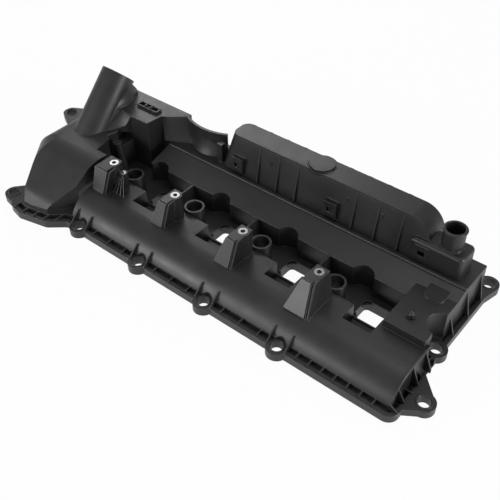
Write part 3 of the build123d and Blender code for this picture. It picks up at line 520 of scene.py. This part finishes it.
# %% Leaning panel
shelf_z = 49.8
panel_rails = [                 # a point on the rim, and x and y of the point on the shelf
    ((-156.5, 157.4, 81.9), (-150, 153.5)), ((-148, 161.2, 81.9), (-137, 159.5)),
    ((-128.5, 177.6, 81.9), (-118, 169.5)), ((-120, 173.0, 81.8), (-110, 165.5)),
    ((-110, 169.1, 81.8), (-102, 162.5)), ((-99, 168.4, 81.8), (-94, 161.5)),
    ((-88, 169.5, 81.8), (-86, 162.5)), ((-78, 172.0, 81.8), (-79, 165)),
    ((-70, 174.6, 81.8), (-72, 169)),
]
panel_sections = []
for top, (foot_x, foot_y) in panel_rails:
    bend = (0.5 * (top[0] + foot_x), top[1] - 0.5, 62)
    back_foot = (foot_x, max(foot_y + 3, top[1]), 49.2)
    back_top = (top[0], top[1] + 1.2, 79)
    panel_sections.append(
        [*sag(top, bend, (foot_x, foot_y, shelf_z), 6), back_foot, back_top]
    )
add_body("leaning_panel", loft(panel_sections))

# %% [markdown]
# ## Panels on the coil brackets
#
# Each bracket carries a flat panel on its front, a little proud of the moulding, where
# the tool was polished, so it is glossier.  Its nylon is also painted lighter than the
# cover's, a painted highlight for the light its leaning front catches.  The corners
# follow the taper of the bracket: wide at its foot and narrow below the insert.

# %% Bracket panels
cylinder_x = (-150.0, -50.0, 50.0, 150.0)
bracket_feet = (                # left, right and y of each foot, from the cylinder's x
    (-13.0, 8.5, 41.5), (-14.0, 7.0, 41.0), (-14.0, 10.0, 37.5), (-13.0, 17.0, 30.0),
)
bracket_tops = ((-10.0, 15.0), (-4.8, 11.2), (-4.8, 11.2), (-4.8, 11.2))
front_top_y, front_rise = 48.0, 32.6            # where a bracket's front ends, and its rise
panel_low_z, panel_high_z, panel_high_y = 34.2, 66.4, 47.6
panel_proud = 1.3                               # how far it stands off the front


def bracket_panel(x, foot, top):
    """Points and faces of the panel on the bracket at x."""
    (foot_left, foot_right, foot_y), (top_left, top_right) = foot, top
    lean = Vector((0, front_top_y - foot_y, front_rise)).normalized()
    proud = Vector((0, -lean.z, lean.y)) * panel_proud
    outline = [
        Vector((x + foot_left - 1.2, foot_y - 0.4, panel_low_z)),
        Vector((x + foot_right - 5.2, foot_y - 0.4, panel_low_z)),
        Vector((x + top_right - 5.0, panel_high_y, panel_high_z)),
        Vector((x + top_left - 0.6, panel_high_y, panel_high_z)),
    ]
    return loft([[p - proud * 0.4 for p in outline], [p + proud for p in outline]])


panels = map(bracket_panel, cylinder_x, bracket_feet, bracket_tops)
add_body("bracket_panels", join(*panels), panel_nylon_painted_lighter)

# %% [markdown]
# ## Trees with named inputs
#
# What repeats or follows a path is made by Geometry Nodes.  A tree gets one named input
# for each size, and a modifier runs it.  The result is then kept as a plain mesh, which
# needs no modifier any more and can be exported.


# %% Making and running a tree
def geometry_tree(name, labels):
    """An empty geometry tree with a geometry input and one named input for each label."""
    tree = bpy.data.node_groups.new(name, "GeometryNodeTree")
    tree.interface.new_socket("Geometry", in_out="INPUT", socket_type="NodeSocketGeometry")
    for label, kind in labels.items():
        tree.interface.new_socket(label, in_out="INPUT", socket_type="NodeSocket" + kind)
    tree.interface.new_socket("Geometry", in_out="OUTPUT", socket_type="NodeSocketGeometry")
    net = Net(tree)
    return tree, net, net.node("NodeGroupInput")


def end_tree(net, geometry, finish):
    """Ends a tree in real geometry with its material."""
    real = net.node("GeometryNodeRealizeInstances", None, {"Geometry": geometry})["Geometry"]
    coated = net.node(
        "GeometryNodeSetMaterial", None, {"Geometry": real, "Material": finish}
    )["Geometry"]
    net.node("NodeGroupOutput", None, {"Geometry": coated})


def run_tree(name, source_data, tree, values, slot_name):
    """Runs a tree on curve or point data and keeps the result as a plain piece."""
    source = bpy.data.objects.new(name + "_source", source_data)
    bpy.context.scene.collection.objects.link(source)
    modifier = source.modifiers.new(name, "NODES")
    modifier.node_group = tree
    values = {**values, "Finish": finishes[slot_name]}
    for item in tree.interface.items_tree:
        if item.in_out == "INPUT" and item.name in values:
            modifier[item.identifier] = values[item.name]
    source.update_tag()
    view = bpy.context.evaluated_depsgraph_get()
    mesh = bpy.data.meshes.new_from_object(source.evaluated_get(view))
    mesh.name = name
    source.modifiers.remove(modifier)
    bpy.data.objects.remove(source)
    return add_piece(name, mesh, slot_name)


print("trees can be made and run")

# %% [markdown]
# ## Beads that follow a path
#
# A round bead is a circle drawn along a path, so one tree makes them all: the bead along
# the ridge, the ribs beside the bracket panels, the bead that keeps the hose on the
# spigot, and the marks round the cap of the pressure valve.

# %% The bead tree
bead_tree, bead_net, bead_in = geometry_tree(
    "round_bead", {"Bead Radius": "Float", "Sides": "Int", "Finish": "Material"}
)
profile = bead_net.node(
    "GeometryNodeCurvePrimitiveCircle",
    None,
    {"Resolution": bead_in["Sides"], "Radius": bead_in["Bead Radius"]},
)["Curve"]
swept = bead_net.node(
    "GeometryNodeCurveToMesh",
    None,
    {"Curve": bead_in["Geometry"], "Profile Curve": profile, "Fill Caps": True},
)["Mesh"]
end_tree(bead_net, swept, bead_in["Finish"])


def path_data(name, paths, closed):
    """Curve data with one straight-sided path for each list of points in millimetres."""
    curve = bpy.data.curves.new(name, "CURVE")
    curve.dimensions = "3D"
    for path in paths:
        spline = curve.splines.new("POLY")
        spline.points.add(len(path) - 1)
        for place, point in zip(spline.points, path):
            place.co = (*(Vector(point) / 1000), 1)
        spline.use_cyclic_u = closed
    return curve


def add_beads(name, paths, radius, sides, slot_name="cover_nylon", closed=False):
    """Adds round beads along paths in millimetres, with their radius in metres."""
    sizes = {"Bead Radius": radius, "Sides": sides}
    return run_tree(name, path_data(name, paths, closed), bead_tree, sizes, slot_name)


print("bead tree with", len(bead_tree.nodes), "nodes")

# %% [markdown]
# ## The ridge and the bracket ribs
#
# Mouldings have beads where two halves of the tool meet or where a wall needs a stiff
# rim.  The longest runs the whole way along the ridge in front of the separator.  A
# rounded rib stands beside each bracket panel and turns over its top.

# %% Ridge bead and bracket ribs
ridge = [(x, 151.2, 50.4) for x in (-128, 70, 275.5)]
add_beads("ridge_bead", [ridge], radius=0.0018, sides=12)
rib_paths = [
    [(x + foot_right - 1.4, foot_y - 0.2, 35.0),
     (x + top_right - 1.4, 47.8, 67.2),
     (x + top_right - 1.6, 58, 67.9)]
    for x, (_, foot_right, foot_y), (_, top_right) in zip(cylinder_x, bracket_feet, bracket_tops)
]
add_beads("bracket_ribs", rib_paths, radius=0.0011, sides=10)

# %% [markdown]
# ## The bead on the spigot
#
# A hose is pushed over the spigot and must not slide off, so there is a small bead just
# below the rim.  Its path is a ring.  The same helper also gives the arcs that follow.


# %% Spigot bead
def arc(centre, radius, start, stop, steps):
    """Points along a level arc, with both of its ends, from angles in degrees."""
    x, y, z = centre
    turns = [radians(start + (stop - start) * step / steps) for step in range(steps + 1)]
    return [(x + radius * cos(turn), y + radius * sin(turn), z) for turn in turns]


def ring(centre, radius, steps=40):
    """Points once round a level ring, for a closed path."""
    return arc(centre, radius, 0, 360, steps)[:-1]


spigot_x, spigot_y, hose_stop_z, spigot_radius = 243.5, 171, 101.2, 11.9
hose_stop = ring((spigot_x, spigot_y, hose_stop_z), spigot_radius)
add_beads(
    "spigot_bead", [hose_stop], radius=0.0012, sides=12,
    slot_name="separator_nylon", closed=True,
)

# %% [markdown]
# ## The threads of the inserts
#
# Each insert takes the screw of a coil.  Its bore is plain in the solid, and the fine
# thread is the same bead again, along a helix with its turns 1 mm apart.  It has the
# dark steel of the stud, so the bore shows darker than the turned face.

# %% Insert threads
insert_shift, insert_y = 3.2, 65                # an insert's place beside its cylinder
thread_radius, thread_low_z = 2.5, 58
thread_paths = [
    [(x + insert_shift + thread_radius * cos(step * pi / 6),
      insert_y + thread_radius * sin(step * pi / 6),
      thread_low_z + step / 12)
     for step in range(97)]     # 12 steps to a turn, and 8 turns
    for x in cylinder_x
]
add_beads("insert_threads", thread_paths, radius=0.00026, sides=5, slot_name="stud_steel")

# %% [markdown]
# ## Rings round the bolt holes
#
# The face round a bolt hole is stiffened by a low ring, which also carries the bolt's
# washer.  The two long rows have one for each cylinder, and the rest stand at the ends.

# %% Bolt rings
row_bolts = [(x, y) for x in cylinder_x for y in (0, 203.5)]
end_bolts = [(-264.0, -7.2), (-349.6, 161.9), (301.0, 33.3), (277.7, 98.3), (277.0, 216.0)]
lug_top_z, bolt_ring_radius = 9.6, 7.9
bolt_paths = [
    ring((x, y, lug_top_z), bolt_ring_radius, steps=32) for x, y in row_bolts + end_bolts
]
add_beads("bolt_rings", bolt_paths, radius=0.0008, sides=8, closed=True)

# %% [markdown]
# ## Rims on the housing and at the plain end
#
# Two thin rims follow edges of the valve housing, at its roof and at the edge of the
# dome.  A thicker one runs round the end of the near body: flat on its deck and then
# down along the round crown.

# %% Housing edges and end rim
roof_corners = [(-212, 137.6), (-187, 133.8), (-158, 133.8), (-155.8, 156.8), (-148, 160.8)]
dome_corners = [(-204.8, 121), (-199.8, 119), (-202.8, 104), (-196.8, 101), (-191.5, 79)]
housing_paths = [[(*corner, 82) for corner in roof_corners],
                 [(*corner, 61) for corner in dome_corners]]
add_beads("housing_edges", housing_paths, radius=0.0008, sides=8)

end_x, crown_y, deck_z, crown_radius = 278.8, 44, 35, 40.32
deck_rim = [(end_x, y, deck_z) for y in (76, 60, crown_y)]
crown_rim = [
    (end_x, crown_y - crown_radius * sin(radians(turn)),
     deck_z - crown_radius + crown_radius * cos(radians(turn)))
    for turn in (8, 16, 24, 32, 40, 48, 56, 63)
]
add_beads("end_rim", [deck_rim + crown_rim], radius=0.0013, sides=10)

# %% [markdown]
# ## Marks round the valve's cap
#
# Three short arcs stand round the cap of the pressure valve, where it is held.  They
# are the same bead again, along parts of a ring and very thin.

# %% Valve arcs
cap_centre, arc_radius, arc_turn = (74, 180.5, 98.6), 16.4, 62
cap_arcs = [arc(cap_centre, arc_radius, angle, angle + arc_turn, 12) for angle in (-165, -45, 75)]
add_beads("valve_arcs", cap_arcs, radius=0.0006, sides=8, slot_name="separator_nylon")

# %% [markdown]
# ## Small blocks that repeat
#
# The windows have cut corners, and the lid of the separator is held by a row of small
# snap hooks along its far edge.  Both are a block on many points, so a second tree puts
# a block of a given size and turn on each point of a mesh that has no faces.

# %% The block tree
block_tree, block_net, block_in = geometry_tree(
    "blocks_on_points", {"Block Size": "Vector", "Turn": "Vector", "Finish": "Material"}
)
block = block_net.node("GeometryNodeMeshCube", None, {"Size": block_in["Block Size"]})["Mesh"]
block_turn = block_net.node(
    "FunctionNodeEulerToRotation", None, {"Euler": block_in["Turn"]}
)["Rotation"]
placed = block_net.node(
    "GeometryNodeInstanceOnPoints",
    None,
    {"Points": block_in["Geometry"], "Instance": block, "Rotation": block_turn},
)["Instances"]
end_tree(block_net, placed, block_in["Finish"])


def add_blocks(name, points, size, turn=0.0, slot_name="cover_nylon"):
    """Adds a block of a size in metres on each point in millimetres, turned round Z."""
    mesh = bpy.data.meshes.new(name)
    mesh.from_pydata([Vector(point) / 1000 for point in points], [], [])
    sizes = {"Block Size": size, "Turn": (0, 0, turn)}
    return run_tree(name, mesh, block_tree, sizes, slot_name)


print("block tree with", len(block_tree.nodes), "nodes")

# %% [markdown]
# ## Cut corners and snap hooks
#
# A block turned by 45 degrees on each corner of a window cuts that corner.  Only the half
# inside the window shows, because the other half lies in the floor round it.

# %% Window corners and lid hooks
window_shift, window_y, window_floor_z = 56, 94, 10.3
window_half_x, window_half_y = 18, 14
window_corners = [
    (x + window_shift + side * window_half_x, window_y + end * window_half_y, window_floor_z)
    for x in cylinder_x for side in (-1, 1) for end in (-1, 1)
]
add_blocks("window_corners", window_corners, size=(0.0106, 0.0106, 0.003), turn=radians(45))
hooks = [(x, 194.4, 97.4) for x in (-34, -9, 16, 41, 104, 129, 154, 179)]
add_blocks("lid_hooks", hooks, size=(0.0042, 0.0018, 0.0024), slot_name="separator_nylon")

# %% [markdown]
# ## The clip on the roof
#
# A narrow slot with a raised frame on the roof takes the clip of a cable holder.  The
# frame is four plain blocks, and two thin walls and a bar inside it hold the clip.


# %% Roof clip
def block_between(low_corner, high_corner):
    """Points and faces of a plain block between two corners in millimetres."""
    (x0, y0, z0), (x1, y1, z1) = low_corner, high_corner
    return loft([[(x0, y0, z), (x1, y0, z), (x1, y1, z), (x0, y1, z)] for z in (z0, z1)])


clip_foot_z, clip_frame_z = 81.5, 85.4
clip_blocks = [                 # the low corner in x and y, and the high corner
    ((-197, 155.5), (-163, 157.0, clip_frame_z)),
    ((-197, 163.5), (-163, 165.0, clip_frame_z)),
    ((-197, 157.0), (-195.2, 163.5, clip_frame_z)),
    ((-164.8, 157.0), (-163, 163.5, clip_frame_z)),
    ((-185, 157.2), (-183.4, 163.4, 87.0)),
    ((-176, 157.2), (-174.4, 163.4, 87.0)),
    ((-183.4, 159.4), (-176.0, 161.2, 84.4)),
]
clip = join(*[block_between((*foot, clip_foot_z), top) for foot, top in clip_blocks])
add_body("roof_clip", clip)

# %% [markdown]
# ## The webs at the plain end
#
# Four thin webs run from the end wall of the near body down to the lip of the flange.
# Each is a four-sided outline, lofted over the thickness of the web.

# %% End webs
web_half = 0.8                  # half the thickness of a web
web_low_z, web_lip_z = 5.8, 10.5


def end_web(middle, top):
    """Points and faces of the web in the plane y = middle, with its top at a height."""
    outline = [(278.6, web_low_z), (278.6, top), (287.5, web_lip_z), (287.5, web_low_z)]
    return loft([[(x, y, z) for x, z in outline] for y in (middle - web_half, middle + web_half)])


web_tops = {6: 17, 20: 27, 46: 33, 70: 33}
add_body("end_webs", join(*[end_web(middle, top) for middle, top in web_tops.items()]))

# %% [markdown]
# ## The floor
#
# The floor is white where the camera or a reflection sees it, and plain paper for all
# other light, so that it keeps the shadow of the cover.  It is clear from below, so that
# the underside can be looked at too.

# %% The white floor
low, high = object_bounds()
floor_half, floor_gap = 6.0, 0.0003
floor_z = low.z - floor_gap
floor_mesh = bpy.data.meshes.new("floor")
floor_mesh.from_pydata(
    [(x * floor_half, y * floor_half, floor_z) for x, y in ((-1, -1), (1, -1), (1, 1), (-1, 1))],
    [],
    [(0, 1, 2, 3)],
)
floor = bpy.data.objects.new("floor", floor_mesh)
bpy.context.scene.collection.objects.link(floor)
floor_material = bpy.data.materials.new("floor_white")
floor_material.use_nodes = True
floor_net = Net(floor_material.node_tree)
ray = floor_net.node("ShaderNodeLightPath")
seen = floor_net.node(
    "ShaderNodeMath",
    {"operation": "MAXIMUM"},
    {0: ray["Is Camera Ray"], 1: ray["Is Glossy Ray"]},
)["Value"]
paper = floor_net.node("ShaderNodeBsdfDiffuse", None, {"Color": (0.8, 0.8, 0.8, 1)})["BSDF"]
glow = floor_net.node(
    "ShaderNodeEmission", None, {"Color": (1, 1, 1, 1), "Strength": 1.0}
)["Emission"]
sheet = floor_net.node("ShaderNodeMixShader", None, {0: seen * 0.95, 1: paper, 2: glow})["Shader"]
below = floor_net.node("ShaderNodeNewGeometry")["Backfacing"]
clear = floor_net.node("ShaderNodeBsdfTransparent")["BSDF"]
surface = floor_net.node("ShaderNodeMixShader", None, {0: below, 1: sheet, 2: clear})["Shader"]
floor_net.node("ShaderNodeOutputMaterial", None, {"Surface": surface})
floor_mesh.materials.append(floor_material)
print("floor at", round(floor_z * 1000, 2), "mm")

# %% [markdown]
# ## The world
#
# Black satin plastic shows little of its own colour.  What shows its form is what it
# mirrors, so the light is wide and soft all round.  The world fills the hollows with a
# weak light, and only the camera sees it as white.

# %% The world
world = bpy.data.worlds.new("studio")
bpy.context.scene.world = world
world.use_nodes = True
world_net = Net(world.node_tree)
to_camera = world_net.node("ShaderNodeLightPath")["Is Camera Ray"]
dim, white = [
    world_net.node(
        "ShaderNodeBackground", None, {"Color": (1, 1, 1, 1), "Strength": strength}
    )["Background"]
    for strength in (0.45, 1.0)
]
sky = world_net.node("ShaderNodeMixShader", None, {0: to_camera, 1: dim, 2: white})["Shader"]
world_net.node("ShaderNodeOutputWorld", None, {"Surface": sky})
print("world:", world.name)

# %% [markdown]
# ## Soft boxes
#
# Four large lamps stand round the cover.  The leaning faces of the brackets catch the
# front one and the end wall the right one, while the upright walls stay dark.  The top
# and back ones are weaker and draw the decks and the far edges.

# %% Lamps
aim = Vector((-0.02, 0.09, 0.03))
lamps = {                       # place, watts and the two sides of each soft box
    "top_box": ((0.15, 0.25, 1.5), 3, 0.8, 0.5),
    "front_box": ((-0.75, -1.25, 0.42), 13, 1.2, 0.4),
    "right_box": ((1.45, 0.25, 0.45), 12, 0.4, 0.6),
    "back_box": ((-0.9, 1.1, 0.8), 5, 0.8, 0.4),
}
for lamp_name, (lamp_place, watts, wide, tall) in lamps.items():
    light = bpy.data.lights.new(lamp_name, "AREA")
    light.shape = "RECTANGLE"
    light.energy = watts
    light.size = wide
    light.size_y = tall
    lamp = bpy.data.objects.new(lamp_name, light)
    bpy.context.scene.collection.objects.link(lamp)
    lamp.location = lamp_place
    lamp.rotation_euler = (aim - Vector(lamp_place)).to_track_quat("-Z", "Y").to_euler()
bpy.context.scene.view_settings.view_transform = "Standard"
print("lamps:", ", ".join(lamps))

# %% [markdown]
# ## The camera
#
# The camera looks down at the near long side from the plain end.  Its place, its angle
# and its lens come from the same fit that gave the sizes of the solids.

# %% Place the camera
camera_azimuth = radians(39.84)
camera_elevation = radians(42.81)
camera_roll = radians(-0.93)
camera_place = Vector((0.44897, -0.39801, 0.60396))
right = Vector((cos(camera_azimuth), sin(camera_azimuth), 0))
forward = Vector(
    (
        -sin(camera_azimuth) * cos(camera_elevation),
        cos(camera_azimuth) * cos(camera_elevation),
        -sin(camera_elevation),
    )
)
up = right.cross(forward)
rolled_right = cos(camera_roll) * right + sin(camera_roll) * up
rolled_up = cos(camera_roll) * up - sin(camera_roll) * right
camera_data = bpy.data.cameras.new("camera")
camera_data.sensor_width = 36
camera_data.lens = 54.47
camera_data.clip_start = 0.01
camera = bpy.data.objects.new("camera", camera_data)
bpy.context.scene.collection.objects.link(camera)
camera_turn = Matrix((rolled_right, rolled_up, -forward)).transposed().to_4x4()
camera.matrix_world = Matrix.Translation(camera_place) @ camera_turn
bpy.context.scene.camera = camera
print("camera at", [round(value, 3) for value in camera_place])
